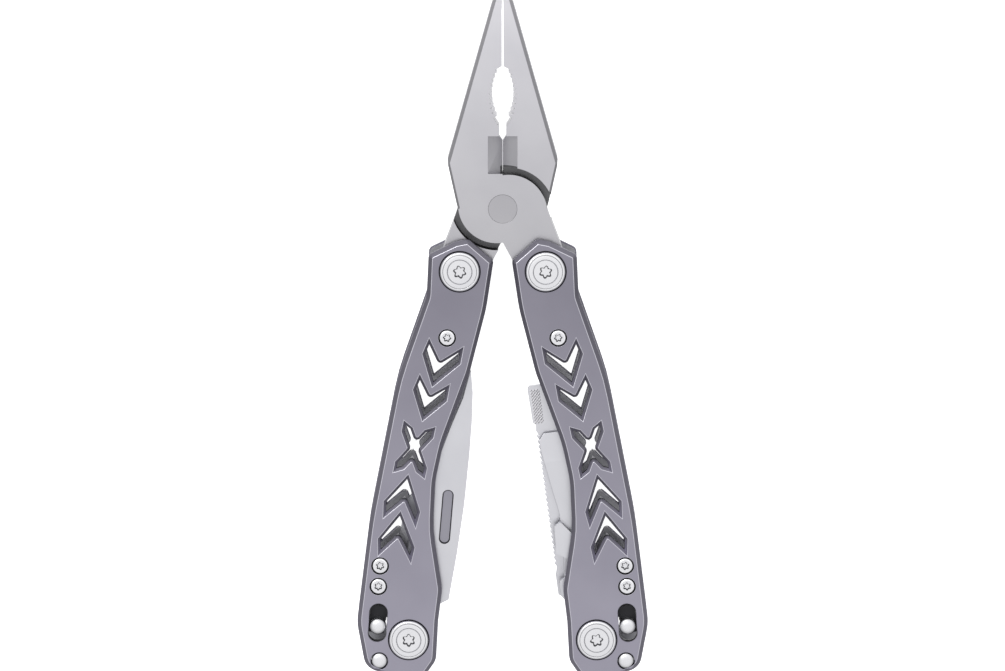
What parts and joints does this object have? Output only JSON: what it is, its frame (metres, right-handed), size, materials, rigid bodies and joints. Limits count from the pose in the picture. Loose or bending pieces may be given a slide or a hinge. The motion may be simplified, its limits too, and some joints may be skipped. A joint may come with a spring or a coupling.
{
  "type": "folding multi tool",
  "caption": "Folding needle-nose pliers with two hinged grey handles, each holding folding tools, a sliding lock and bright pivot screws.",
  "frame": {"origin": "bottom centre of the box round the tool as it lies open on its back", "axes": "+Z is the front face, +Y points from the handles to the tip of the pliers, +X is to the right seen from the front"},
  "size_m": [0.0696, 0.1648, 0.0158],
  "materials": {
    "jaw_steel": "satin ground",
    "rivet_steel": "flush turned",
    "scale_aluminium": "satin anodised grey",
    "liner_steel": "satin",
    "screw_steel": "bright turned",
    "tool_steel": "satin ground",
    "spring_steel": "dark drawn",
    "bronze": "plain"
  },
  "bodies": {
    "front_jaw": {"front_jaw": "jaw_steel", "jaw_rivet": "rivet_steel", "right_pivot_bush": "bronze"},
    "rear_jaw": {"rear_jaw": "jaw_steel", "left_pivot_bush": "bronze"},
    "left_handle": {"left_front_scale": "scale_aluminium", "left_back_scale": "scale_aluminium", "left_front_liner": "liner_steel", "left_back_liner": "liner_steel", "left_pivot_barrel": "liner_steel", "left_pivot_screws": "screw_steel", "left_tool_barrel": "liner_steel", "left_tool_screws": "screw_steel", "left_scale_screws": "screw_steel", "left_spacer_posts": "liner_steel", "left_stop_pin": "screw_steel", "left_washers": "bronze", "left_lock_spring": "spring_steel"},
    "left_lock": {"left_lock_bar": "liner_steel", "left_lock_pin": "screw_steel"},
    "left_knife": {"left_knife": "tool_steel"},
    "left_flat_driver": {"left_flat_driver": "tool_steel"},
    "left_cross_driver": {"left_cross_driver": "tool_steel"},
    "left_bottle_opener": {"left_bottle_opener": "tool_steel"},
    "right_handle": {"right_front_scale": "scale_aluminium", "right_back_scale": "scale_aluminium", "right_front_liner": "liner_steel", "right_back_liner": "liner_steel", "right_pivot_barrel": "liner_steel", "right_pivot_screws": "screw_steel", "right_tool_barrel": "liner_steel", "right_tool_screws": "screw_steel", "right_scale_screws": "screw_steel", "right_spacer_posts": "liner_steel", "right_stop_pin": "screw_steel", "right_washers": "bronze", "right_lock_spring": "spring_steel"},
    "right_lock": {"right_lock_bar": "liner_steel", "right_lock_pin": "screw_steel"},
    "right_can_opener": {"right_can_opener": "tool_steel"},
    "right_pry_driver": {"right_pry_driver": "tool_steel"},
    "right_file": {"right_file": "tool_steel"},
    "right_small_driver": {"right_small_driver": "tool_steel"}
  },
  "joints": [
    {"name": "jaw_pivot", "type": "hinge", "parent": "front_jaw", "child": "rear_jaw", "pos_m": [0, 0.03124, 0.0079], "axis": [0, 0, 1], "range_deg": [-30, 0]},
    {"name": "left_fold", "type": "hinge", "parent": "rear_jaw", "child": "left_handle", "pos_m": [-0.0102, 0.01664, 0.0079], "axis": [0, 0, -1], "range_deg": [0, 168]},
    {"name": "left_lock_slide", "type": "slide", "parent": "left_handle", "child": "left_lock", "axis": [0.0698, 0.9976, 0], "range_m": [-0.0017, 0.0032], "stiffness_N_per_m": 200},
    {"name": "left_knife_open", "type": "hinge", "parent": "left_handle", "child": "left_knife", "pos_m": [-0.02249, -0.07252, 0.0079], "axis": [0, 0, 1], "range_deg": [-180, 0]},
    {"name": "left_flat_driver_open", "type": "hinge", "parent": "left_handle", "child": "left_flat_driver", "pos_m": [-0.02249, -0.07252, 0.0079], "axis": [0, 0, 1], "range_deg": [-180, 0]},
    {"name": "left_cross_driver_open", "type": "hinge", "parent": "left_handle", "child": "left_cross_driver", "pos_m": [-0.02249, -0.07252, 0.0079], "axis": [0, 0, 1], "range_deg": [-180, 0]},
    {"name": "left_bottle_opener_open", "type": "hinge", "parent": "left_handle", "child": "left_bottle_opener", "pos_m": [-0.02249, -0.07252, 0.0079], "axis": [0, 0, 1], "range_deg": [-180, 0]},
    {"name": "right_fold", "type": "hinge", "parent": "front_jaw", "child": "right_handle", "pos_m": [0.0102, 0.01664, 0.0079], "axis": [0, 0, 1], "range_deg": [0, 168]},
    {"name": "right_lock_slide", "type": "slide", "parent": "right_handle", "child": "right_lock", "axis": [-0.0698, 0.9976, 0], "range_m": [-0.0017, 0.0032], "stiffness_N_per_m": 200},
    {"name": "right_can_opener_open", "type": "hinge", "parent": "right_handle", "child": "right_can_opener", "pos_m": [0.02249, -0.07252, 0.0079], "axis": [0, 0, -1], "range_deg": [-180, 0]},
    {"name": "right_pry_driver_open", "type": "hinge", "parent": "right_handle", "child": "right_pry_driver", "pos_m": [0.02249, -0.07252, 0.0079], "axis": [0, 0, -1], "range_deg": [-180, 0]},
    {"name": "right_file_open", "type": "hinge", "parent": "right_handle", "child": "right_file", "pos_m": [0.02249, -0.07252, 0.0079], "axis": [0, 0, -1], "range_deg": [-180, 0]},
    {"name": "right_small_driver_open", "type": "hinge", "parent": "right_handle", "child": "right_small_driver", "pos_m": [0.02249, -0.07252, 0.0079], "axis": [0, 0, -1], "range_deg": [-180, 0]}
  ],
  "couplings": [
    {"joint": "left_knife_open", "follows": "left_fold", "ratio": -1.0714},
    {"joint": "right_file_open", "follows": "right_fold", "ratio": -1.0714},
    {"joint": "right_pry_driver_open", "follows": "right_fold", "ratio": -1.0714}
  ]
}
